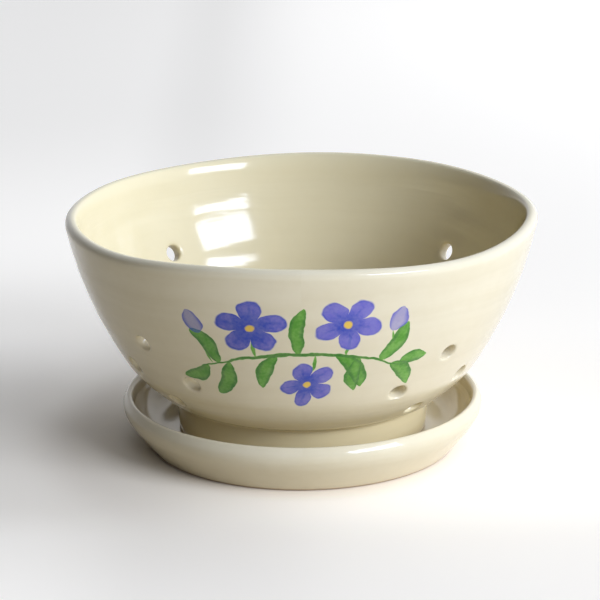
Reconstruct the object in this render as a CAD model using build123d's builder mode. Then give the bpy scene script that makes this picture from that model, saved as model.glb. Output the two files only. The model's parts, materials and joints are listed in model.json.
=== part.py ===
from build123d import *
from math import atan2, copysign, cos, degrees, radians, sin, sqrt, tan
import os

# A berry colander bowl standing on its own drip saucer, both thrown on the wheel and glazed.
# Millimetres and degrees, +Z up. The origin is on the table, under the middle of the saucer.

# Drip saucer
saucer_rim_diameter = 139.4
saucer_height = 20.0
saucer_wall = 4.4
saucer_turn_inset = 1.7
saucer_turn_drop = 8.55
saucer_turn_round = 6.0
saucer_belly = 0.32
saucer_base_diameter = 118.0
saucer_base_round = 1.5
saucer_floor_height = 6.5
saucer_floor_round = 6.0
saucer_recess_diameter = 98.0
saucer_recess_depth = 1.2

# Colander bowl, with heights measured from the underside of its foot ring
rim_diameter = 180.0
bowl_height = 87.0
bowl_wall = 5.0
wall_belly = 2.63
haunch_diameter = 131.2
haunch_height = 25.3
haunch_round = 22.0
foot_diameter = 95.6
foot_flare = 1.4
foot_height = 11.2
foot_ring_width = 7.5
foot_recess_depth = 5.5
foot_recess_round = 3.0
foot_edge_round = 1.0
crease_round = 2.5
floor_thickness = 7.5
floor_round = 30.0

# Drain holes: diamonds of four round the wall, and one such diamond in the floor
hole_diameter = 6.5
hole_bevel = 0.6
diamond_half_width = 16.5
diamond_top_height = 50.0
diamond_side_height = 35.3
diamond_bottom_height = 23.5
# Each diamond was placed by eye: its direction round the bowl, and how far it sits above the rest
diamond_places = [(-137.5, 0.0), (-46.5, -3.0), (40.5, 3.0), (133.0, 2.0)]
floor_diamond_radius = 17.0

# Share of a straight wall that a fillet beside it may take up
fillet_room = 0.95


class ThrownWall:
    """Section of a thrown wall: straight to a rounded corner, then bowed out up to a round lip."""

    def __init__(self, rim_radius, height, wall, start, corner, corner_round, belly):
        self.start = start
        lip_radius = wall / 2
        lip_centre = Vector(rim_radius - lip_radius, height - lip_radius)
        chord = Vector(rim_radius, lip_centre.Y) - corner
        lip_slope = atan2(chord.Y, chord.X) + 2 * atan2(2 * belly, chord.length)
        self.upward = Vector(cos(lip_slope), sin(lip_slope))
        self.outward = Vector(sin(lip_slope), -cos(lip_slope))
        self.lip_outer = lip_centre + self.outward * lip_radius
        self.lip_top = lip_centre + self.upward * lip_radius
        self.lip_inner = lip_centre - self.outward * lip_radius

        # The bowed part is an arc that leaves the lip straight down its slope and heads for the corner
        fall = corner - self.lip_outer
        self.arc_radius = -fall.dot(fall) / (2 * fall.dot(self.outward))
        self.arc_centre = self.lip_outer - self.outward * self.arc_radius

        # The corner bends up or out, whichever way the arc sets off from the straight part
        self.slope = atan2(corner.Y - start.Y, corner.X - start.X)
        self.along = Vector(cos(self.slope), sin(self.slope))
        inward = Vector(-sin(self.slope), cos(self.slope))
        leaving = self.along.dot(corner - self.arc_centre)
        self.bend = copysign(corner_round, leaving * self.arc_radius)

        # The corner's round touches the straight part and the arc, so its centre is known from both
        reach = start + inward * self.bend - self.arc_centre
        gap = self.arc_radius - self.bend
        spread = reach.dot(self.along) ** 2 - reach.dot(reach) + gap**2
        advance = copysign(sqrt(spread), leaving) - reach.dot(self.along)
        self.round_centre = start + inward * self.bend + self.along * advance
        facing = (self.round_centre - self.arc_centre) * (1 / gap)
        self.round_low = self.round_centre - inward * self.bend
        self.round_high = self.round_centre + facing * self.bend
        self.round_low_inner = self.round_low + inward * wall
        self.round_high_inner = self.round_high - facing * wall

    def floor_edge(self, height):
        """Where the straight inner wall meets a floor at a height."""
        drop = self.round_low_inner.Y - height
        return Vector(self.round_low_inner.X - drop / tan(self.slope), height)

    def floor_fillet(self, height, radius):
        """Radius that rounds a floor into the wall, as far as the straight part has room for it."""
        straight = (self.round_low_inner.Y - height) / sin(self.slope)
        return min(radius, fillet_room * straight / tan(self.slope / 2))

    def station(self, height):
        """Point of the outer wall at a height, and the way it faces there."""
        if height < self.round_low.Y:
            radius = self.start.X + (height - self.start.Y) / tan(self.slope)
            return Vector(radius, height), Vector(sin(self.slope), -cos(self.slope))
        on_round = height < self.round_high.Y
        centre = self.round_centre if on_round else self.arc_centre
        bend = self.bend if on_round else self.arc_radius
        rise = height - centre.Y
        facing = Vector(sqrt(bend**2 - rise**2) / abs(bend), rise / bend)
        return centre + facing * bend, facing

    def draw(self, floor_height):
        """Add the wall's outline to a line builder, from its start over the lip to the floor."""
        Line(self.start, self.round_low)
        TangentArc(self.round_low, self.round_high, tangent=self.along)
        TangentArc(self.lip_outer, self.round_high, tangent=-self.upward)
        TangentArc(self.lip_outer, self.lip_top, tangent=self.upward)
        TangentArc(self.lip_top, self.lip_inner, tangent=-self.outward)
        TangentArc(self.lip_inner, self.round_high_inner, tangent=-self.upward)
        TangentArc(self.round_low_inner, self.round_high_inner, tangent=self.along)
        Polyline(self.round_low_inner, self.floor_edge(floor_height), (0, floor_height))


def round_corner(sketch, point, radius):
    """Round the corner of a sketch that lies at a point of its outline."""
    fillet(sketch.vertices().sort_by_distance(Vector(point))[0], radius)


saucer_rim_r = saucer_rim_diameter / 2
saucer_recess_r = saucer_recess_diameter / 2
saucer_wall_line = ThrownWall(
    saucer_rim_r,
    saucer_height,
    saucer_wall,
    Vector(saucer_base_diameter / 2, 0),
    Vector(saucer_rim_r - saucer_turn_inset, saucer_height - saucer_turn_drop),
    saucer_turn_round,
    saucer_belly,
)
saucer_floor_edge = saucer_wall_line.floor_edge(saucer_floor_height)
saucer_floor_fillet = saucer_wall_line.floor_fillet(saucer_floor_height, saucer_floor_round)

with BuildPart() as drip_saucer:
    with BuildSketch(Plane.XZ) as saucer_section:
        with BuildLine():
            Polyline(
                (0, saucer_floor_height),
                (0, saucer_recess_depth),
                (saucer_recess_r, saucer_recess_depth),
                (saucer_recess_r, 0),
                saucer_wall_line.start,
            )
            saucer_wall_line.draw(saucer_floor_height)
        make_face()
        round_corner(saucer_section, saucer_wall_line.start, saucer_base_round)
        round_corner(saucer_section, saucer_floor_edge, saucer_floor_fillet)
    revolve(axis=Axis.Z)

foot_r = foot_diameter / 2
foot_inner_r = foot_r - foot_ring_width
floor_top = foot_recess_depth + floor_thickness
bowl_wall_line = ThrownWall(
    rim_diameter / 2,
    bowl_height,
    bowl_wall,
    Vector(foot_r + foot_flare, foot_height),
    Vector(haunch_diameter / 2, haunch_height),
    haunch_round,
    wall_belly,
)
floor_edge = bowl_wall_line.floor_edge(floor_top)
floor_fillet = bowl_wall_line.floor_fillet(floor_top, floor_round)


def drill_plane(azimuth, height):
    """Plane on the outer wall, facing straight out of it."""
    spot, facing = bowl_wall_line.station(height)
    turn = radians(azimuth)
    return Plane(
        origin=(spot.X * cos(turn), spot.X * sin(turn), saucer_floor_height + spot.Y),
        z_dir=(facing.X * cos(turn), facing.X * sin(turn), facing.Y),
    )


def diamond_holes(azimuth, lift):
    """Azimuths and heights of the four holes of one diamond."""
    side_height = diamond_side_height + lift
    side_spot, side_facing = bowl_wall_line.station(side_height)
    side_turn = degrees(diamond_half_width / side_spot.X)
    return [
        (azimuth, diamond_top_height + lift),
        (azimuth - side_turn, side_height),
        (azimuth + side_turn, side_height),
        (azimuth, diamond_bottom_height + lift),
    ]


def drain_bore(thickness):
    """Space that one hole takes out of a wall, from its outer side down, with both edges eased."""
    hole_radius = hole_diameter / 2
    flare = hole_radius + 2 * hole_bevel
    with BuildPart() as bore:
        with BuildSketch(Plane.XZ):
            with BuildLine():
                Polyline(
                    (0, hole_bevel),
                    (flare, hole_bevel),
                    (hole_radius, -hole_bevel),
                    (hole_radius, hole_bevel - thickness),
                    (flare, -hole_bevel - thickness),
                    (0, -hole_bevel - thickness),
                    close=True,
                )
            make_face()
        revolve(axis=Axis.Z)
    return bore.part


# Every hole is drilled square to the wall
wall_holes = [drill_plane(*hole) for place in diamond_places for hole in diamond_holes(*place)]
wall_bore = drain_bore(bowl_wall)
floor_bore = drain_bore(floor_thickness)
floor_plane = Plane.XY.offset(saucer_floor_height + floor_top)
bowl_plane = Plane(origin=(0, 0, saucer_floor_height), x_dir=(1, 0, 0), z_dir=(0, -1, 0))

with BuildPart() as colander_bowl:
    with BuildSketch(bowl_plane) as bowl_section:
        with BuildLine():
            Polyline(
                (0, floor_top),
                (0, foot_recess_depth),
                (foot_inner_r, foot_recess_depth),
                (foot_inner_r, 0),
                (foot_r, 0),
                bowl_wall_line.start,
            )
            bowl_wall_line.draw(floor_top)
        make_face()
        round_corner(bowl_section, (foot_inner_r, foot_recess_depth), foot_recess_round)
        round_corner(bowl_section, (foot_inner_r, 0), foot_edge_round)
        round_corner(bowl_section, (foot_r, 0), foot_edge_round)
        round_corner(bowl_section, bowl_wall_line.start, crease_round)
        round_corner(bowl_section, floor_edge, floor_fillet)
    revolve(axis=Axis.Z)
    with Locations(*wall_holes):
        add(wall_bore, mode=Mode.SUBTRACT)
    with Locations(floor_plane):
        with PolarLocations(floor_diamond_radius, 4):
            add(floor_bore, mode=Mode.SUBTRACT)

os.makedirs("parts", exist_ok=True)
for piece, name in ((drip_saucer, "drip_saucer"), (colander_bowl, "colander_bowl")):
    piece.part.label = name
    export_step(piece.part, f"parts/{name}.step")
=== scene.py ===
import json
from math import atan2, ceil, cos, degrees, pi, radians, sin, tan

import bmesh
import bpy
from mathutils import Matrix, Vector

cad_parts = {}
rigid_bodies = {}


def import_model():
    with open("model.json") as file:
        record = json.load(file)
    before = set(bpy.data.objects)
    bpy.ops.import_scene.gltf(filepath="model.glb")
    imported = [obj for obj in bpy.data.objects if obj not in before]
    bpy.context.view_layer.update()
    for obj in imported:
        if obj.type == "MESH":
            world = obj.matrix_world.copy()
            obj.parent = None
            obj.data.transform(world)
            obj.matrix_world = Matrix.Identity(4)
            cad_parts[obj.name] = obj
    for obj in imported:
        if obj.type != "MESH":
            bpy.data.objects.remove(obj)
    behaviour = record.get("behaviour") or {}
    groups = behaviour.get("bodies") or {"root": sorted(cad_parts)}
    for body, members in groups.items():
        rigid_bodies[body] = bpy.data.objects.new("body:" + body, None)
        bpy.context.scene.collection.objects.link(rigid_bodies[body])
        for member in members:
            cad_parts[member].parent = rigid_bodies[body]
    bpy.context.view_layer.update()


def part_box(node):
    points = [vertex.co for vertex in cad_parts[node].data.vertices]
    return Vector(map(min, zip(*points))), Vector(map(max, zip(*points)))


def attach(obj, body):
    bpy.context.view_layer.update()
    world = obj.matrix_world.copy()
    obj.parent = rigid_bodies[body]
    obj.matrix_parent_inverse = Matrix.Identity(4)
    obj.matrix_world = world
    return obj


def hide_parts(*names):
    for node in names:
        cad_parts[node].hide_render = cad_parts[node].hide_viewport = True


bl_info = {
    "name": "Berry Colander Bowl",
    "version": (1, 0, 0),
    "blender": (4, 5, 0),
    "location": "3D View > Sidebar > Pottery",
    "description": "Throws a glazed colander bowl and its drip saucer round their CAD solids",
    "category": "Add Mesh",
}

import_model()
bowl_low, bowl_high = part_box("colander_bowl")
saucer_low, saucer_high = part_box("drip_saucer")


def size(name, description, default):
    """A length in metres that the sidebar shows."""
    return bpy.props.FloatProperty(
        name=name, description=description, default=default, precision=5, unit="LENGTH", subtype="DISTANCE"
    )


def angle(name, description, default):
    """An angle in radians, which the sidebar shows in degrees."""
    return bpy.props.FloatProperty(name=name, description=description, default=default, subtype="ANGLE")


def tint(name, description, default):
    """A colour that the sidebar shows."""
    return bpy.props.FloatVectorProperty(
        name=name, description=description, default=default, size=3, min=0, max=1, subtype="COLOR"
    )


class BowlSizes(bpy.types.PropertyGroup):
    """Sizes of the colander bowl, with heights measured from the underside of its foot ring."""

    rim_diameter: size("Rim Diameter", "Across the outside of the lip", bowl_high.x - bowl_low.x)
    height: size("Height", "From the foot ring to the top of the lip", bowl_high.z - bowl_low.z)
    wall: size("Wall", "Thickness of the thrown wall and lip", 0.005)
    belly: size("Belly", "How far the wall bows out between haunch and lip", 0.00263)
    haunch_diameter: size("Haunch Diameter", "Across the bend low in the wall", 0.1312)
    haunch_height: size("Haunch Height", "Height of the bend low in the wall", 0.0253)
    haunch_round: size("Haunch Round", "Radius of the bend low in the wall", 0.040)
    foot_diameter: size("Foot Diameter", "Across the outside of the foot ring", 0.0956)
    foot_flare: size("Foot Flare", "How far the foot ring widens up to the wall", 0.0014)
    foot_height: size("Foot Height", "Height of the crease between foot ring and wall", 0.0135)
    foot_edge_round: size("Foot Edge Round", "Radius of the foot ring's lower edges", 0.001)
    crease_round: size("Crease Round", "Radius of the crease above the foot ring", 0.0015)
    shelf_width: size("Shelf Width", "Width of the flatter clay between foot ring and wall", 0.0052)
    shelf_rise: size("Shelf Rise", "How far that clay rises to the wall", 0.0021)
    shelf_round: size("Shelf Round", "Radius between that clay and the wall", 0.008)
    foot_ring_width: size("Foot Ring Width", "Width of the ring that the bowl stands on", 0.0075)
    recess_depth: size("Recess Depth", "Depth of the turned hollow inside the foot ring", 0.0055)
    recess_round: size("Recess Round", "Radius at the edge of that hollow", 0.003)
    floor_thickness: size("Floor Thickness", "Clay between the turned hollow and the inside", 0.0075)
    floor_round: size("Floor Round", "Radius between the inside floor and the wall", 0.030)
    outer_rings: size("Outer Rings", "Depth of the throwing rings outside", 0.00012)
    inner_rings: size("Inner Rings", "Depth of the throwing rings inside", 0.00025)
    hole_diameter: size("Hole Diameter", "Across a drain hole", 0.0065)
    hole_ease: size("Hole Easing", "How far glaze rounds a drain hole's edge", 0.0008)
    diamond_half_width: size("Diamond Half Width", "From a diamond's middle to its side holes", 0.0165)
    floor_diamond_radius: size("Floor Diamond Radius", "From the axis to the floor's holes", 0.017)


class SaucerSizes(bpy.types.PropertyGroup):
    """Sizes of the drip saucer."""

    rim_diameter: size("Rim Diameter", "Across the outside of the lip", saucer_high.x - saucer_low.x)
    height: size("Height", "From the table to the top of the lip", saucer_high.z - saucer_low.z)
    wall: size("Wall", "Thickness of the thrown wall and lip", 0.0044)
    belly: size("Belly", "How far the wall bows out under the lip", 0.00032)
    turn_inset: size("Turn Inset", "How far inside the rim the wall turns upright", 0.0017)
    turn_drop: size("Turn Drop", "How far below the rim the wall turns upright", 0.00855)
    turn_round: size("Turn Round", "Radius of the turn in the wall", 0.013)
    base_diameter: size("Base Diameter", "Across the base", 0.118)
    base_round: size("Base Round", "Radius at the edge of the base", 0.0015)
    recess_diameter: size("Recess Diameter", "Across the turned hollow of the base", 0.098)
    recess_depth: size("Recess Depth", "Depth of the turned hollow of the base", 0.0012)
    recess_round: size("Recess Round", "Radius at the edge of that hollow", 0.0004)
    floor_height: size("Floor Height", "Height of the floor that the bowl stands on", bowl_low.z)
    floor_diameter: size("Floor Diameter", "Across the floor, from wall to wall", 0.1225)
    floor_round: size("Floor Round", "Radius between the floor and the wall", 0.0108)


class GlazeColours(bpy.types.PropertyGroup):
    """Colours of the glaze, the bare clay and the brush decoration."""

    cream: tint("Cream Glaze", "Glaze where it lies evenly", (0.76, 0.675, 0.485))
    pooled: tint("Pooled Glaze", "Glaze where it lies thick", (0.71, 0.62, 0.425))
    # The inside colour is painted shade: a deeper, yellower cream over the whole inside, standing in for
    # the shade of light bouncing round the bowl's inside
    inside: tint("Inside Glaze", "Thicker glaze that was poured round the inside", (0.78, 0.665, 0.38))
    # The amber colour is partly glaze that runs together over the foot ring and partly painted shade in the
    # crease between foot ring and wall
    amber_and_crease_shade: tint("Amber Glaze", "Glaze that runs together over the foot ring", (0.69, 0.57, 0.32))
    clay: tint("Bare Clay", "Clay that the kiln shelf keeps free of glaze", (0.55, 0.42, 0.28))
    blossom: tint("Blossom Blue", "Thin blue pigment of the petals", (0.14, 0.125, 0.50))
    cobalt: tint("Cobalt Blue", "Strong blue pigment near a blossom's middle", (0.014, 0.045, 0.40))
    leaf: tint("Leaf Green", "Thin green pigment of the leaves", (0.13, 0.42, 0.016))
    moss: tint("Moss Green", "Strong green pigment of stems and leaf edges", (0.022, 0.17, 0.003))
    pollen: tint("Pollen Yellow", "Dots in the middle of the blossoms", (0.85, 0.55, 0.04))


class StageSettings(bpy.types.PropertyGroup):
    """The table, the lamps and the camera."""

    floor_tone: tint("Table", "Colour of the table as it is seen", (0.98, 0.885, 0.735))
    floor_bounce: tint("Table Bounce", "Colour that the table throws back on the bowl", (0.75, 0.655, 0.48))
    softbox_power: bpy.props.FloatProperty(
        name="Softbox Power", description="Power of the lamp at the front right", default=15.5, unit="POWER"
    )
    softbox_azimuth: angle("Softbox Azimuth", "Direction of the lamp round the bowl", radians(-42))
    softbox_elevation: angle("Softbox Elevation", "How high the lamp stands", radians(26.5))
    softbox_distance: size("Softbox Distance", "From the bowl to the lamp", 1.5)
    softbox_aim: size("Softbox Aim", "Height on the bowl that the lamp shines at", 0.06)
    softbox_width: size("Softbox Width", "Width of the lamp", 0.85)
    softbox_height: size("Softbox Height", "Height of the lamp", 0.36)
    window_light: bpy.props.FloatProperty(
        name="Window Light", description="Share of the light that the room's windows give", default=1.0
    )
    camera_distance: size("Camera Distance", "From the bowl's axis forward to the camera", 0.9972)
    camera_height: size("Camera Height", "From the table up to the camera", 0.357)
    camera_pitch: angle("Camera Pitch", "How far the camera looks down", 0.2931)
    camera_roll: angle("Camera Roll", "How far the camera leans left", 0.0065)
    camera_lens: bpy.props.FloatProperty(
        name="Lens", description="Focal length of the camera", default=162.2, unit="CAMERA"
    )
    camera_shift: bpy.props.FloatProperty(
        name="Camera Shift", description="How far the frame moves right, as a share of it", default=-0.003
    )


# Diamonds of four holes: direction round the bowl in degrees, and how far each sits above the rest
DIAMONDS = ((-137.5, 0.0), (-46.5, -0.003), (40.5, 0.003), (133.0, 0.002))
# Heights of a diamond's top, side and bottom holes
DIAMOND_HEIGHTS = (0.050, 0.0353, 0.0235)
# Where the rim dried out of level: direction round the bowl, how deep it dips and how far that reaches
RIM_DIPS = (
    (-46, 0.0024, 0.070),
    (20, 0.0009, 0.060),
    (-170, 0.0012, 0.070),
    (-140, 0.0019, 0.055),
    (155, 0.0015, 0.080),
    (116, 0.0012, 0.060),
)
# Corners of each lip from its outside to its inside: how far down the wall, and how far in through it
BOWL_LIP = ((0.0017, 0), (0, 0.0015), (0, 0.0036), (0.0010, 0.0047), (0.0048, 0.0054), (0.011, 0.005))
SAUCER_LIP = ((0.0027, 0), (0, 0.0019), (0, 0.0031), (0.0010, 0.0040), (0.0028, 0.0044))
# Two waves make the throwing rings: distance from ring to ring, where it starts, and share of the depth
THROWING_RINGS = ((0.0093, 2.1, 1.0), (0.0147, 2.6, 0.7))
# Height where the rings start, and how much wall they take to fade in there and out below the lip
RINGS_START, RINGS_FADE_IN, RINGS_FADE_OUT = 0.03, 0.01, 0.02
# An eased edge of a drain hole: how far down the hole and how far out of it, as shares of the easing
EASED_EDGE = ((0.0, 1.0), (0.35, 0.4), (1.3, 0.0))
# Faces from the middle of a drain hole to the edge of the patch that is cut out for it
WALL_PATCH, FLOOR_PATCH = 2, 4
# How far round a drain hole the clay is drawn in to bring a point of the mesh to its middle
HOLE_DRAW = 0.012
# Steps of a whole turn on the wheel, and the radius of the flat discs that close the middle
SPIN_STEPS = 144
FLOOR_DISC = 0.030
# Distance between the points of an outline, the most that it turns from one to the next, and how near
# points are that count as one, on an outline and in a mesh
PITCH = 0.003
ARC_STEP = radians(28)
SAME_SPOT = 1e-5
MERGE_DISTANCE = 1e-6
# Shares of a side that the round of an eased corner and the bow of a wall take up
EASED_SHARE = 0.48
BOW_SHARE = 0.99
# Times that a wall is drawn to bring its lip to its right size
LIP_PASSES = 4


def rounded_outline(corners, pitch):
    """Points about a pitch apart along a line whose corners, given with their rounds, are arcs."""
    points = []
    for index, (corner, bend) in enumerate(corners):
        if index in (0, len(corners) - 1):
            arc = [corner]
        else:
            before = (corner - corners[index - 1][0]).normalized()
            after = (corners[index + 1][0] - corner).normalized()
            turn = before.angle_signed(after)
            reach = bend * tan(abs(turn) / 2)
            start = corner - before * reach
            steps = max(2, ceil(abs(turn) / ARC_STEP), ceil(abs(turn) * bend / pitch))
            side = Vector((-before.y, before.x)) * (-1 if turn > 0 else 1)
            arc = []
            for step in range(steps + 1):
                swing = abs(turn) * step / steps
                arc.append(start + before * bend * sin(swing) + side * bend * (1 - cos(swing)))
        if points:
            run = arc[0] - points[-1]
            if run.length < SAME_SPOT:
                arc = arc[1:]
            else:
                first = points[-1].copy()
                cuts = ceil(run.length / pitch)
                points += [first + run * cut / cuts for cut in range(1, cuts)]
        points += arc
    return points


def thrown_wall(start, corner, corner_round, rim_radius, height, wall, belly, lip_shape):
    """Corners of a wall that reaches a rim radius and a height once its lip is rounded."""
    reach = Vector((rim_radius, height))
    fine_pitch = wall / 40
    for _ in range(LIP_PASSES):
        outer, lip, inner = wall_corners(start, corner, corner_round, reach, wall, belly, lip_shape)
        outline = rounded_outline(outer[-1:] + lip + inner[:1], fine_pitch)
        reach.x += rim_radius - max(point.x for point in outline)
        reach.y += height - max(point.y for point in outline)
    return outer, lip, inner


def eased(line):
    """The corners of a line between its ends, each with a round of about half of its shorter side."""
    corners = []
    for before, corner, after in zip(line, line[1:], line[2:]):
        side = min((corner - before).length, (after - corner).length)
        turn = abs((corner - before).angle_signed(after - corner))
        corners.append((corner, EASED_SHARE * side / tan(turn / 2)))
    return corners


def wall_corners(start, corner, corner_round, reach, wall, belly, lip_shape):
    """Rounded corners of a thrown wall, of its lip, and of its inside from the lip down to the slope."""
    lip_centre = reach - Vector((wall, wall)) / 2
    chord = Vector((reach.x, lip_centre.y)) - corner
    swell = atan2(2 * belly, chord.length)
    slope = atan2(chord.y, chord.x) + 2 * swell
    upward = Vector((cos(slope), sin(slope)))
    outward = Vector((sin(slope), -cos(slope)))
    lip_outer = lip_centre + outward * wall / 2
    swollen = (lip_outer - corner).length / 2 / cos(2 * swell)
    setting_off = slope - 4 * swell
    belly_corner = corner + Vector((cos(setting_off), sin(setting_off))) * swollen
    corner_turn = setting_off - atan2((corner - start).y, (corner - start).x)
    lip_corner = lip_outer + upward * wall / 2
    lip_line = [lip_corner - upward * wall]
    lip_line += [lip_corner - upward * down - outward * over for down, over in lip_shape]
    lip = eased(lip_line + [lip_line[-1] - upward * wall])
    # The bow takes up the wall between the corner's round and the bevel's, as much at each end
    bevel = (lip_line[2] - lip_line[1]).length / 2 + lip_shape[0][0] - wall / 2
    taken = max(corner_round * tan(abs(corner_turn) / 2), bevel)
    belly_round = (swollen * BOW_SHARE - taken) / tan(2 * swell)
    outer = [(start, 0), (corner, corner_round), (belly_corner, belly_round)]
    line = [point for point, bend in outer] + [lip_outer]
    least_round = wall / 3
    inner = []
    for index in (2, 1):
        before = (line[index] - line[index - 1]).normalized()
        after = (line[index + 1] - line[index]).normalized()
        mitre = Vector((-before.y - after.y, before.x + after.x)) / (1 + before.dot(after))
        inner.append((line[index] + mitre * wall, max(outer[index][1] - wall, least_round)))
    return outer, lip, inner


def bowl_section(sizes):
    """Outline of the bowl from its underside over the lip to its inside floor, and its outer wall alone."""
    foot = sizes.foot_diameter / 2
    foot_inner = foot - sizes.foot_ring_width
    floor_top = sizes.recess_depth + sizes.floor_thickness
    crease = Vector((foot + sizes.foot_flare, sizes.foot_height))
    shelf = crease + Vector((sizes.shelf_width, sizes.shelf_rise))
    haunch = Vector((sizes.haunch_diameter / 2, sizes.haunch_height))
    rim = sizes.rim_diameter / 2
    outer, lip, inner = thrown_wall(
        shelf, haunch, sizes.haunch_round, rim, sizes.height, sizes.wall, sizes.belly, BOWL_LIP
    )
    slope = (haunch - shelf).y / (haunch - shelf).x
    floor_edge = Vector((inner[1][0].x - (inner[1][0].y - floor_top) / slope, floor_top))
    under = [
        (Vector((FLOOR_DISC, sizes.recess_depth)), 0),
        (Vector((foot_inner, sizes.recess_depth)), sizes.recess_round),
        (Vector((foot_inner, 0)), sizes.foot_edge_round),
        (Vector((foot, 0)), sizes.foot_edge_round),
        (crease, sizes.crease_round),
        (shelf, sizes.shelf_round),
    ]
    inside = inner + [(floor_edge, sizes.floor_round), (Vector((FLOOR_DISC, floor_top)), 0)]
    lift = Vector((0, bowl_low.z))
    outline = [point + lift for point in rounded_outline(under + outer[1:] + lip + inside, PITCH)]
    top = max(range(len(outline)), key=lambda index: outline[index].y)
    wall_line = [point for point in outline[:top] if point.y > bowl_low.z + shelf.y and point.x > shelf.x]
    return outline, wall_line


def saucer_section(sizes):
    """Outline of the saucer from its underside over the lip to its floor."""
    rim = sizes.rim_diameter / 2
    start = Vector((sizes.base_diameter / 2, 0))
    corner = Vector((rim - sizes.turn_inset, sizes.height - sizes.turn_drop))
    outer, lip, inner = thrown_wall(
        start, corner, sizes.turn_round, rim, sizes.height, sizes.wall, sizes.belly, SAUCER_LIP
    )
    recess = sizes.recess_diameter / 2
    under = [
        (Vector((FLOOR_DISC, sizes.recess_depth)), 0),
        (Vector((recess, sizes.recess_depth)), sizes.recess_round),
        (Vector((recess, 0)), sizes.recess_round),
        (start, sizes.base_round),
    ]
    floor_edge = Vector((sizes.floor_diameter / 2, sizes.floor_height))
    floor = Vector((FLOOR_DISC, sizes.floor_height))
    inside = inner + [(floor_edge, sizes.floor_round), (floor, 0)]
    return rounded_outline(under + outer[1:] + lip + inside, PITCH)


def with_throwing_rings(outline, sizes):
    """The bowl's outline with the shallow rings that fingers leave in a thrown wall."""
    ringed = []
    top = max(range(len(outline)), key=lambda index: outline[index].y)
    start = bowl_low.z + RINGS_START
    for index, point in enumerate(outline):
        fade_in = (point.y - start) / RINGS_FADE_IN
        fade_out = (bowl_high.z - point.y) / RINGS_FADE_OUT
        fade = max(0, min(1, fade_in, fade_out))
        wave = 0
        for spacing, phase, share in THROWING_RINGS:
            wave += share * (sin(point.y * 2 * pi / spacing + phase) - 1)
        depth = -sizes.inner_rings if index > top else sizes.outer_rings
        ringed.append(Vector((point.x + depth / 2 * fade * wave, point.y)))
    return ringed


def edit(piece, mode):
    """Open a piece in edit mode with nothing selected, picking vertices, edges or faces."""
    bpy.context.view_layer.objects.active = piece
    bpy.ops.object.mode_set(mode="EDIT")
    bpy.context.tool_settings.mesh_select_mode = [mode == kind for kind in ("VERT", "EDGE", "FACE")]
    bpy.ops.mesh.select_all(action="DESELECT")
    return bmesh.from_edit_mesh(piece.data)


def throw(name, outline):
    """A closed solid of revolution, drawn up from one point along its outline and spun on the wheel."""
    bpy.ops.object.select_all(action="DESELECT")
    bpy.ops.mesh.primitive_plane_add(size=0.001, location=(0, 0, 0))
    piece = bpy.context.object
    piece.name = name
    piece.data.name = name
    edit(piece, "VERT")
    bpy.ops.mesh.select_all(action="SELECT")
    bpy.ops.mesh.merge(type="CENTER")
    bpy.ops.transform.translate(value=(outline[0].x, 0, outline[0].y))
    for before, after in zip(outline, outline[1:]):
        step = after - before
        bpy.ops.mesh.extrude_region_move(TRANSFORM_OT_translate={"value": (step.x, 0, step.y)})
    bpy.ops.mesh.select_all(action="SELECT")
    bpy.ops.mesh.spin(steps=SPIN_STEPS, angle=2 * pi, center=(0, 0, 0), axis=(0, 0, 1))
    bpy.ops.mesh.select_all(action="SELECT")
    bpy.ops.mesh.remove_doubles(threshold=MERGE_DISTANCE)
    for height in (outline[0].y, outline[-1].y):
        mesh = edit(piece, "EDGE")
        for edge in mesh.edges:
            if edge.is_boundary and abs(edge.verts[0].co.z - height) < SAME_SPOT:
                edge.select_set(True)
        bmesh.update_edit_mesh(piece.data)
        bpy.ops.mesh.fill_grid(span=SPIN_STEPS // 4)
    bpy.ops.mesh.select_all(action="SELECT")
    bpy.ops.mesh.normals_make_consistent(inside=False)
    bpy.ops.object.mode_set(mode="OBJECT")
    return piece


def press(piece, spot, reach, shift=None):
    """Move the clay at a spot by a shift, or else right onto the spot, and less and less round it."""
    mesh = edit(piece, "VERT")
    nearest = min(mesh.verts, key=lambda vertex: (vertex.co - spot).length_squared)
    nearest.select_set(True)
    bmesh.update_edit_mesh(piece.data)
    bpy.ops.transform.translate(
        value=spot - nearest.co if shift is None else shift,
        use_proportional_edit=True,
        use_proportional_connected=shift is None,
        proportional_edit_falloff="SMOOTH",
        proportional_size=reach,
    )


def drill(piece, spot, facing, depth, patch, sizes):
    """Cut one eased drain hole square through a wall, inside a patch of faces on each side of it."""
    for side in (spot, spot - facing * depth):
        press(piece, side, HOLE_DRAW)
        for _ in range(patch):
            bpy.ops.mesh.select_more()
        bpy.ops.mesh.delete(type="FACE")
    # The hole has as many corners as the border of the patch. Rounding the mesh draws a ring of that
    # many corners in, so the rings start larger
    corners = 8 * patch
    radius = sizes.hole_diameter / 2 * 3 / (2 + cos(2 * pi / corners))
    mouth = [(down * sizes.hole_ease, radius + out * sizes.hole_ease) for down, out in EASED_EDGE]
    rings = mouth + [(depth / 2, radius)] + [(depth - down, wide) for down, wide in reversed(mouth)]
    edit(piece, "EDGE")
    bpy.ops.mesh.primitive_circle_add(
        vertices=corners,
        radius=rings[0][1],
        location=spot,
        rotation=facing.to_track_quat("Z", "Y").to_euler(),
    )
    for (above, wide), (below, narrow) in zip(rings, rings[1:]):
        bpy.ops.mesh.extrude_edges_move(TRANSFORM_OT_translate={"value": -facing * (below - above)})
        bpy.ops.transform.resize(value=(narrow / wide,) * 3, center_override=spot - facing * below)
    for outer in (True, False):
        mesh = edit(piece, "EDGE")
        for border in [edge for edge in mesh.edges if edge.is_boundary]:
            offset = border.verts[0].co - spot
            if (offset.dot(facing) > -depth / 2) == outer:
                border.select_set(True)
        bmesh.update_edit_mesh(piece.data)
        bpy.ops.mesh.bridge_edge_loops()


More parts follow.
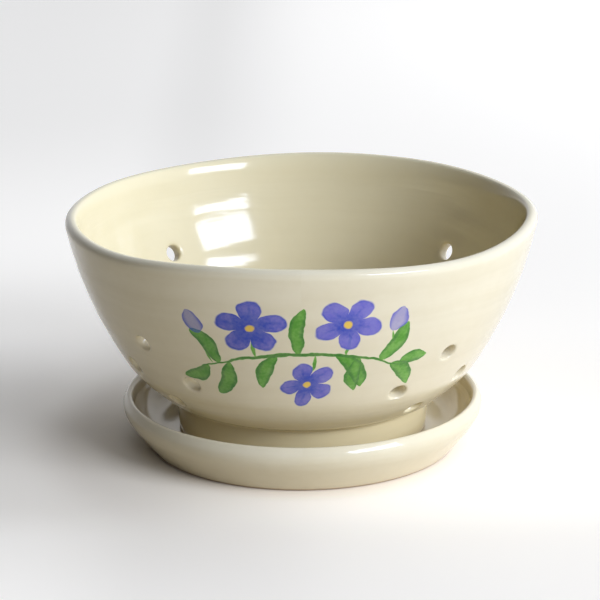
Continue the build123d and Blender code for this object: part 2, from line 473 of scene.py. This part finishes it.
def wall_spot(wall_line, azimuth, height):
    """Point of the outer wall in a direction at a height, and the way it faces."""
    turn = Matrix.Rotation(radians(azimuth), 3, "Z")
    for low, high in zip(wall_line, wall_line[1:]):
        if low.y <= height <= high.y:
            point = low.lerp(high, (height - low.y) / (high.y - low.y))
            climb = (high - low).normalized()
            return turn @ Vector((point.x, 0, point.y)), turn @ Vector((climb.y, 0, -climb.x))
    raise ValueError(f"The bowl's wall has no point {height} m above the table")


def smooth(piece):
    """Close the mesh, round it once and shade it smooth."""
    edit(piece, "VERT")
    bpy.ops.mesh.select_all(action="SELECT")
    bpy.ops.mesh.remove_doubles(threshold=MERGE_DISTANCE)
    bpy.ops.mesh.normals_make_consistent(inside=False)
    bpy.ops.object.mode_set(mode="OBJECT")
    bpy.ops.object.select_all(action="DESELECT")
    piece.select_set(True)
    bpy.context.view_layer.objects.active = piece
    rounding = piece.modifiers.new("Rounding", "SUBSURF")
    rounding.levels = 1
    rounding.render_levels = 1
    bpy.ops.object.modifier_apply(modifier=rounding.name)
    bpy.ops.object.shade_smooth()


class Wire:
    """One output of a node. Arithmetic on it adds Math nodes to the same tree."""

    def __init__(self, bench, socket):
        self.bench = bench
        self.socket = socket

    def math(self, operation, *values):
        """A Math node on these values."""
        return self.bench.node("ShaderNodeMath", {"operation": operation}, dict(enumerate(values)))

    def __add__(self, other):
        return self.math("ADD", self, other)

    def __sub__(self, other):
        return self.math("SUBTRACT", self, other)

    def __rsub__(self, other):
        return self.math("SUBTRACT", other, self)

    def __mul__(self, other):
        return self.math("MULTIPLY", self, other)

    def __truediv__(self, other):
        return self.math("DIVIDE", self, other)

    def __pow__(self, other):
        return self.math("POWER", self, other)

    def __abs__(self):
        return self.math("ABSOLUTE", self)

    __radd__ = __add__
    __rmul__ = __mul__

    def most(self, other):
        """The larger of the two."""
        return self.math("MAXIMUM", self, other)

    def rises(self, low, high):
        """Goes smoothly from 0 where this is low to 1 where it is high."""
        settings = {"interpolation_type": "SMOOTHSTEP"}
        return self.bench.node("ShaderNodeMapRange", settings, {"Value": self, 1: low, 2: high})


class Bench:
    """Adds nodes to one tree."""

    def __init__(self, tree):
        self.tree = tree
        tree.nodes.clear()

    def node(self, kind, settings, sockets, output=0):
        """Add a node, set its settings, then the values or links of its sockets, and give an output."""
        node = self.tree.nodes.new(kind)
        for setting, value in settings.items():
            setattr(node, setting, value)
        for socket, value in sockets.items():
            if isinstance(value, Wire):
                self.tree.links.new(value.socket, node.inputs[socket])
            else:
                node.inputs[socket].default_value = value
        return Wire(self, node.outputs[output]) if node.outputs else None

    def axes(self, vector):
        """The three parts of a vector."""
        parts = self.node("ShaderNodeSeparateXYZ", {}, {0: vector})
        return [Wire(self, socket) for socket in parts.socket.node.outputs]

    def place(self):
        """Where a point is on the object."""
        return self.node("ShaderNodeTexCoord", {}, {}, "Object")

    def noise(self, vector, scale, detail, output="Fac"):
        """Soft noise from 0 to 1, as one value or as a colour of three."""
        sockets = {"Vector": vector, "Scale": scale, "Detail": detail}
        return self.node("ShaderNodeTexNoise", {}, sockets, output)

    def blend(self, factor, low, high):
        """One colour going over to another."""
        return self.node("ShaderNodeMix", {"data_type": "RGBA"}, {0: factor, 6: low, 7: high}, 2)


def distance(x, y):
    """Distance from the middle of two axes."""
    return (x * x + y * y) ** 0.5


def opaque(colour):
    """A colour of the sidebar as a socket takes it."""
    return (*colour, 1)


# Unevenness of the glaze and of the brushwork: how many times to the metre, and levels of detail
CLOUDS = (24.0, 3.0)
MOTTLE = (260.0, 3.0)
RIPPLES = (62.0, 2.0)
ORANGE_PEEL = (420.0, 2.0)
BRUSH_SHAKE = (160.0, 2.0)
PIGMENT_GRAIN = (900.0, 4.0)
PIGMENT_WASH = (220.0, 2.0)
# Faint rings in the glaze to the metre
GLAZE_RINGS = 170.0
# Height of the bare clay round a standing ring, and how far the glaze takes to thin out above it
BARE_BAND, BARE_FADE = 0.0008, 0.0004
# Radius of the front wall in millimetres, at which the sprig is unrolled, and how far the brush strays
UNROLLED_RADIUS = 76.5
BRUSH_STRAY = 2.4
# How slowly a leaf-shaped stroke widens from its tip
STROKE_TAPER = 0.62
# Petals of a blossom
PETALS = 5
# The stem in millimetres: height in the middle, droop and reach to each side, then half its thickness
# at the tips and what it gains to the middle
STEM_HEIGHT, STEM_DROOP, STEM_REACH = 60.0, 0.006, 38.0
STEM_TIP, STEM_SWELL = 0.2, 0.55
# Leaves on the unrolled front wall in millimetres: start, angle, length, half width, bow
LEAVES = (
    ((-34, 52.6), 206, 14, 3.0, 1.6),
    ((-30, 54.6), 122, 16, 3.2, -1.6),
    ((-26, 55.9), 246, 17, 3.3, 1.8),
    ((-9, 59.5), 248, 16, 3.2, -1.6),
    ((-1, 60.0), 86, 19, 3.0, 1.6),
    ((12, 59.1), 306, 18, 3.4, 2.0),
    ((20, 57.6), 268, 15, 3.0, -1.4),
    ((27, 55.6), 62, 18, 3.2, -2.0),
    ((32, 53.9), 312, 15, 3.0, 1.6),
    ((35, 52.6), 14, 12, 2.6, 1.2),
)
# Stalks of the buds and blossoms: start, angle, length, half width, bow
STALKS = (
    ((-32, 53.9), 104, 14, 0.7, 0.8),
    ((29, 55.0), 82, 14, 0.7, -0.8),
    ((4, 59.9), 262, 9, 0.8, 0.5),
    ((-16, 58.4), 92, 9, 0.8, 0.4),
    ((15, 58.6), 88, 10, 0.8, -0.4),
)
# Buds: start, angle, length, half width
BUDS = (
    ((-35.0, 66.4), 110, 10, 3.2),
    ((30.8, 68.0), 74, 10, 3.3),
)
# Blossoms: middle, radius, squeeze, turn
BLOSSOMS = (
    ((-17.0, 70.5), 12.5, 0.88, 18),
    ((15.0, 72.0), 11.5, 0.94, -12),
    ((2.0, 46.5), 11.0, 0.86, 40),
)


def stroke(across, up, start, lean, length, half_width, bow=0.0):
    """Pigment of one leaf-shaped brush stroke, from 0 to 1, in millimetres on the unrolled wall."""
    along_x, along_y = cos(radians(lean)), sin(radians(lean))
    share = (across - start[0]) * (along_x / length) + (up - start[1]) * (along_y / length)
    offset = (up - start[1]) * along_x - (across - start[0]) * along_y
    if bow:
        offset = offset - share * (1 - share) * (4 * bow)
    width = (share * (1 - share)).most(0) ** STROKE_TAPER * (half_width * 4**STROKE_TAPER)
    inside = abs(offset)
    body = (width - inside).rises(0.0, 0.4)
    pool = (inside / width.most(0.05)).rises(0.35, 1.0)
    return body * (pool * 0.35 + 0.62)


def blossom(across, up, middle, radius, squeeze, turn):
    """Pigment of a blossom, how strong it is, and the blossom's middle, each from 0 to 1."""
    turn_x, turn_y = cos(radians(turn)), sin(radians(turn))
    x = ((across - middle[0]) * turn_x + (up - middle[1]) * turn_y) / radius
    y = ((up - middle[1]) * turn_x - (across - middle[0]) * turn_y) / (radius * squeeze)
    reach = distance(x, y)
    bearing = y.math("ARCTAN2", y, x)
    fold = bearing.math("PINGPONG", bearing, pi / PETALS)
    lobe = fold * (PETALS / 2)
    edge = lobe.math("COSINE", lobe).most(0) ** 0.55 * 0.62 + 0.38
    petals = (edge - reach).rises(-0.02, 0.05)
    vein = (fold * reach).rises(0.10, 0.0) * reach.rises(0.95, 0.35)
    rimmed = (edge - reach).rises(0.16, 0.0)
    strength = (reach.rises(0.75, 0.12) * 0.75).most(vein * 0.6).most(rimmed * 0.45)
    return petals, strength, reach.rises(0.17, 0.11)


def brush_decoration(bench, place, colours, outside, glaze):
    """The glaze with a sprig of blossoms brushed across the front of the wall."""
    x, y, z = bench.axes(place)
    shake_x, shake_y = bench.axes(bench.noise(place, *BRUSH_SHAKE, "Color"))[:2]
    across = x.math("ARCTAN2", x, 0 - y) * UNROLLED_RADIUS + (shake_x - 0.5) * BRUSH_STRAY
    up = z * 1000 + (shake_y - 0.5) * BRUSH_STRAY
    wash = bench.noise(place, *PIGMENT_WASH)
    grain = bench.noise(place, *PIGMENT_GRAIN)
    thin = (wash * 0.7 + grain * 0.5).rises(0.25, 0.85)

    from_middle = abs(across)
    stem_height = STEM_HEIGHT - across * across * STEM_DROOP
    stem_width = (1 - (from_middle / (STEM_REACH - 1)) ** 2.0).most(0) * STEM_SWELL + STEM_TIP
    stem = (stem_width - abs(up - stem_height)).rises(-0.2, 0.25)
    green = stem * (STEM_REACH - from_middle).rises(0.0, 1.0) * 0.9
    for leaf in LEAVES + STALKS:
        green = green.most(stroke(across, up, *leaf))

    petals = stroke(across, up, *BUDS[0])
    for bud in BUDS[1:]:
        petals = petals.most(stroke(across, up, *bud))
    strength = petals * 0.5
    dots = 0
    for flower in BLOSSOMS:
        shape, force, middle = blossom(across, up, *flower)
        petals = petals.most(shape)
        strength = strength.most(shape * force)
        dots = middle.most(dots)

    # The blue is stronger on the left, and all pigment is thinner where the brush ran dry
    strength = strength + across.rises(20.0, -20.0) * 0.45 + thin * 0.3 - 0.15
    petal_colour = bench.blend(strength.rises(0.0, 1.0), opaque(colours.blossom), opaque(colours.cobalt))
    depth = (green * 1.25 - 0.55 + thin * 0.25).rises(0.0, 0.8)
    leaf_colour = bench.blend(depth, opaque(colours.leaf), opaque(colours.moss))
    painted = (0 - y).rises(0.0, 0.01) * outside
    cover = (0.88 + thin * 0.12) * painted
    glaze = bench.blend(green.rises(0.0, 0.55) * cover, glaze, leaf_colour)
    glaze = bench.blend(petals * cover, glaze, petal_colour)
    return bench.blend(dots * painted * 0.9, glaze, opaque(colours.pollen))


def outside_wall(x, y, z, sizes):
    """1 outside the middle of the bowl's bowed wall and 0 inside it."""
    haunch, rim = sizes.haunch_diameter / 2, sizes.rim_diameter / 2
    low = bowl_low.z + sizes.haunch_height
    share = (z - low) / (bowl_high.z - sizes.wall / 2 - low)
    middle = share * (rim - haunch) + share * (1 - share) * (4 * sizes.belly) + (haunch - sizes.wall / 2)
    return (distance(x, y) - middle).rises(-0.001, 0.001)


def foot_run_and_crease_shade(x, y, z, sizes):
    """1 on the outside of the foot ring and on the shelf above it, where the glaze runs together and where
    shade is painted into the crease.
    """
    radius = distance(x, y)
    foot = sizes.foot_diameter / 2
    shelf = foot + sizes.foot_flare + sizes.shelf_width
    crease = bowl_low.z + sizes.foot_height
    ring = radius.rises(foot - 0.0018, foot - 0.0008) * radius.rises(shelf + 0.0031, shelf - 0.0029)
    return ring * z.rises(crease + 0.0035, crease - 0.0005)


def glaze_material(name, colours, underside, bowl_sizes=None):
    """Cream gloss glaze over thrown clay, bare under the standing ring."""
    material = bpy.data.materials.new(name)
    material.use_nodes = True
    bench = Bench(material.node_tree)
    place = bench.place()
    x, y, z = bench.axes(place)
    cloud = bench.noise(place, *CLOUDS)
    mottle = bench.noise(place, *MOTTLE)
    # The faint rings climb by one in each turn, as the fingers do that leave them
    turning = x.math("ARCTAN2", x, y) * (0.5 / pi)
    ring_place = z * GLAZE_RINGS + turning + cloud * 1.5
    ring_sockets = {"W": ring_place, "Scale": 1.0, "Detail": 2.0}
    rings = bench.node("ShaderNodeTexNoise", {"noise_dimensions": "1D"}, ring_sockets)
    thickness = cloud * 0.6 + rings * 0.35 + mottle * 0.2
    glaze = bench.blend(thickness.rises(0.35, 0.85), opaque(colours.cream), opaque(colours.pooled))
    if bowl_sizes:
        outside = outside_wall(x, y, z, bowl_sizes)
        # Painted shade: the inside of the wall takes the deeper, yellower inside colour
        glaze = bench.blend((1 - outside) * 0.6, glaze, opaque(colours.inside))
        glaze = brush_decoration(bench, place, colours, outside, glaze)
        # Amber over the foot ring and shelf: partly glaze that runs together, partly painted shade in the
        # crease
        run_and_crease_shade = foot_run_and_crease_shade(x, y, z, bowl_sizes) * (0.45 + cloud * 0.3)
        glaze = bench.blend(run_and_crease_shade, glaze, opaque(colours.amber_and_crease_shade))
    bare = z.rises(underside + BARE_BAND + BARE_FADE, underside + BARE_BAND)
    surface = bench.blend(bare, glaze, opaque(colours.clay))
    roughness = (mottle * 0.05 + 0.09) * (1 - bare) + bare * 0.75
    # Heights of the relief are in millimetres
    ripple = bench.noise(place, *RIPPLES) * 0.12 + bench.noise(place, *ORANGE_PEEL) * 0.005
    height = ripple + rings * 0.10 + bare * mottle * 0.15
    relief = bench.node("ShaderNodeBump", {}, {"Strength": 1.0, "Distance": 0.001, "Height": height})
    shader = bench.node(
        "ShaderNodeBsdfPrincipled",
        {},
        {"Base Color": surface, "Roughness": roughness, "Normal": relief, "IOR": 1.5},
    )
    bench.node("ShaderNodeOutputMaterial", {}, {"Surface": shader})
    return material


def finish_piece(piece, material, node, body):
    """Glaze a piece and let it stand for its CAD node."""
    piece.data.materials.clear()
    piece.data.materials.append(material)
    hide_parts(node)
    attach(piece, body)


class MakeBowl(bpy.types.Operator):
    """Throw, drill and glaze the colander bowl"""

    bl_idname = "pottery.make_bowl"
    bl_label = "Make Colander Bowl"

    def execute(self, context):
        sizes = context.scene.bowl_sizes
        outline, wall_line = bowl_section(sizes)
        bowl = throw("thrown_bowl", with_throwing_rings(outline, sizes))
        for azimuth, lift in DIAMONDS:
            top, side, bottom = (bowl_low.z + lift + height for height in DIAMOND_HEIGHTS)
            middle = wall_spot(wall_line, azimuth, side)[0]
            swing = degrees(sizes.diamond_half_width / middle.xy.length)
            for turn, height in ((0, top), (-swing, side), (swing, side), (0, bottom)):
                spot, facing = wall_spot(wall_line, azimuth + turn, height)
                drill(bowl, spot, facing, sizes.wall, WALL_PATCH, sizes)
        floor_top = bowl_low.z + sizes.recess_depth + sizes.floor_thickness
        for quarter in range(4):
            outward = Matrix.Rotation(quarter * pi / 2, 3, "Z") @ Vector((1, 0, 0))
            spot = outward * sizes.floor_diamond_radius + Vector((0, 0, floor_top))
            drill(bowl, spot, Vector((0, 0, 1)), sizes.floor_thickness, FLOOR_PATCH, sizes)
        smooth(bowl)
        rim = sizes.rim_diameter / 2
        for azimuth, dip, reach in RIM_DIPS:
            edge = Vector((cos(radians(azimuth)), sin(radians(azimuth)), 0)) * rim
            press(bowl, edge + Vector((0, 0, bowl_high.z)), reach, (0, 0, -dip))
        bpy.ops.object.mode_set(mode="OBJECT")
        material = glaze_material("decorated_cream_glaze", context.scene.glaze_colours, bowl_low.z, sizes)
        finish_piece(bowl, material, "colander_bowl", "bowl")
        return {"FINISHED"}


class MakeSaucer(bpy.types.Operator):
    """Throw and glaze the drip saucer"""

    bl_idname = "pottery.make_saucer"
    bl_label = "Make Drip Saucer"

    def execute(self, context):
        saucer = throw("thrown_saucer", saucer_section(context.scene.saucer_sizes))
        smooth(saucer)
        material = glaze_material("cream_glaze", context.scene.glaze_colours, saucer_low.z)
        finish_piece(saucer, material, "drip_saucer", "saucer")
        return {"FINISHED"}


# Soft windows of the room: direction round the bowl, height and spread in degrees, and strength
WINDOWS = (
    (14, 30, 37, 2.15),
    (45, 25, 37, 0.6),
    (70, 30, 45.6, 1.06),
    (-20, 10, 37, 1.4),
    (-45, 10, 37, 1.8),
    (-60, 36, 37, 0.9),
)
# Share of a window's spread over which it is at its brightest
WINDOW_CORE = 0.31
DAYLIGHT = (0.74, 0.82, 1.0, 1.0)
WHITE = (1, 1, 1, 1)
# The backdrop pales towards this direction
PALE_SIDE = (0.6, 0.8)
TABLE_SIZE = 8
# Width of the camera's sensor in millimetres
SENSOR_WIDTH = 36


def seen_directly(bench):
    """1 for what the camera sees straight, mirrored or through glass, and 0 for light on other surfaces."""
    paths = ("Is Camera Ray", "Is Glossy Ray", "Is Transmission Ray")
    straight, mirrored, through = (bench.node("ShaderNodeLightPath", {}, {}, path) for path in paths)
    return straight.most(mirrored).most(through)


def direction(azimuth, elevation):
    """The direction at an angle round the bowl and an angle above the table."""
    flat = Vector((cos(azimuth), sin(azimuth), 0)) * cos(elevation)
    return flat + Vector((0, 0, sin(elevation)))


def table_glow(x, y):
    """Share of white that the table shows besides lamplight, by distances in metres from the saucer:
    painted light that fades out beside the saucer into a painted contact shadow.
    """
    radius = distance(x, y)
    left = radius.rises(0.085, 0.115) * x.rises(-0.05, -0.1) * 0.10
    near = x.rises(-0.09, 0.02) * 0.155 + left + 0.02
    far = x.rises(-0.2, 0.3) * 0.27 + 0.04
    behind = x.rises(0.05, -0.1) * radius.rises(0.6, 0.25) * 0.12 + 0.06
    in_front = x.rises(0.0, -0.08) * 0.15 - 0.07
    # Painted contact shadow: the glow fades out close to the saucer, and is painted lighter or darker to
    # the left, behind and in front
    glow = radius.rises(0.057, 0.072) * near + radius.rises(0.15, 0.9) * far
    return glow + y.rises(0.05, 0.15) * behind + y.rises(-0.07, -0.11) * in_front


def lay_table(settings):
    """A pale table that is seen brighter than the light that it throws back on the bowl."""
    bpy.ops.object.select_all(action="DESELECT")
    bpy.ops.mesh.primitive_plane_add(size=TABLE_SIZE, location=(0, 0, 0))
    table = bpy.context.object
    table.name = "table_top"
    paper = bpy.data.materials.new("pale_table")
    paper.use_nodes = True
    bench = Bench(paper.node_tree)
    matt = bench.node("ShaderNodeBsdfDiffuse", {}, {"Color": opaque(settings.floor_tone)})
    bounce = bench.node("ShaderNodeBsdfDiffuse", {}, {"Color": opaque(settings.floor_bounce)})
    x, y = bench.axes(bench.place())[:2]
    white = bench.node("ShaderNodeEmission", {}, {"Color": table_glow(x, y), "Strength": 1.0})
    bright = bench.node("ShaderNodeAddShader", {}, {0: matt, 1: white})
    surface = bench.node("ShaderNodeMixShader", {}, {0: seen_directly(bench), 1: bounce, 2: bright})
    bench.node("ShaderNodeOutputMaterial", {}, {"Surface": surface})
    table.data.materials.append(paper)


def hang_softbox(settings):
    """A rectangular lamp that shines on the bowl from the front right."""
    toward = direction(settings.softbox_azimuth, settings.softbox_elevation)
    place = toward * settings.softbox_distance + Vector((0, 0, settings.softbox_aim))
    aim = toward.to_track_quat("Z", "Y").to_euler()
    bpy.ops.object.light_add(type="AREA", location=place, rotation=aim)
    lamp = bpy.context.object.data
    lamp.shape = "RECTANGLE"
    lamp.size = settings.softbox_width
    lamp.size_y = settings.softbox_height
    lamp.energy = settings.softbox_power
    lamp.color = DAYLIGHT[:3]


def light_room(settings):
    """A room that lights the bowl by its windows, and is seen as a pale backdrop."""
    room = bpy.data.worlds.new("bright_room")
    bpy.context.scene.world = room
    room.use_nodes = True
    bench = Bench(room.node_tree)
    x, y, z = bench.axes(bench.node("ShaderNodeTexCoord", {}, {}, "Generated"))
    strength = 0
    for azimuth, elevation, spread, power in WINDOWS:
        toward = direction(radians(azimuth), radians(elevation))
        closeness = x * toward.x + y * toward.y + z * toward.z
        pane = closeness.rises(cos(radians(spread)), cos(radians(spread * WINDOW_CORE)))
        strength = strength + pane * (power * settings.window_light)
    light = bench.node("ShaderNodeBackground", {}, {"Color": DAYLIGHT, "Strength": strength})
    pale = (x * PALE_SIDE[0] + y * PALE_SIDE[1]).rises(-0.7, 0.5) * 0.75 + 0.25
    backdrop = bench.node("ShaderNodeBackground", {}, {"Color": WHITE, "Strength": pale})
    mixed = bench.node("ShaderNodeMixShader", {}, {0: seen_directly(bench), 1: light, 2: backdrop})
    bench.node("ShaderNodeOutputWorld", {}, {"Surface": mixed})


def set_up_camera(settings):
    """A camera in front of the bowl that looks a little down on it."""
    look = Matrix.Rotation(pi / 2 - settings.camera_pitch, 3, "X")
    look = look @ Matrix.Rotation(-settings.camera_roll, 3, "Z")
    place = (0, -settings.camera_distance, settings.camera_height)
    bpy.ops.object.camera_add(location=place, rotation=look.to_euler())
    camera = bpy.context.object
    camera.data.lens = settings.camera_lens
    camera.data.sensor_width = SENSOR_WIDTH
    camera.data.shift_x = settings.camera_shift
    bpy.context.scene.camera = camera


class MakeStage(bpy.types.Operator):
    """Set the table, the softbox, the room light and the camera"""

    bl_idname = "pottery.make_stage"
    bl_label = "Make Stage"

    def execute(self, context):
        settings = context.scene.stage_settings
        lay_table(settings)
        hang_softbox(settings)
        light_room(settings)
        set_up_camera(settings)
        context.scene.view_settings.view_transform = "Standard"
        return {"FINISHED"}


class PotteryPanel(bpy.types.Panel):
    """The makers of the bowl, the saucer and the stage, with their sizes and colours"""

    bl_idname = "VIEW3D_PT_pottery"
    bl_label = "Berry Colander Bowl"
    bl_space_type = "VIEW_3D"
    bl_region_type = "UI"
    bl_category = "Pottery"

    def draw(self, context):
        scene = context.scene
        for operator, group in (
            (MakeSaucer, scene.saucer_sizes),
            (MakeBowl, scene.bowl_sizes),
            (MakeStage, scene.stage_settings),
            (None, scene.glaze_colours),
        ):
            box = self.layout.box()
            if operator:
                box.operator(operator.bl_idname)
            for name in group.bl_rna.properties.keys():
                if name not in ("rna_type", "name"):
                    box.prop(group, name)


GROUPS = {
    "bowl_sizes": BowlSizes,
    "saucer_sizes": SaucerSizes,
    "glaze_colours": GlazeColours,
    "stage_settings": StageSettings,
}
CLASSES = (*GROUPS.values(), MakeSaucer, MakeBowl, MakeStage, PotteryPanel)


def register():
    for item in CLASSES:
        bpy.utils.register_class(item)
    for name, group in GROUPS.items():
        setattr(bpy.types.Scene, name, bpy.props.PointerProperty(type=group))


def unregister():
    for name in GROUPS:
        delattr(bpy.types.Scene, name)
    for item in reversed(CLASSES):
        bpy.utils.unregister_class(item)


def main():
    register()
    bpy.ops.pottery.make_saucer()
    bpy.ops.pottery.make_bowl()
    bpy.ops.pottery.make_stage()


if __name__ == "__main__":
    main()
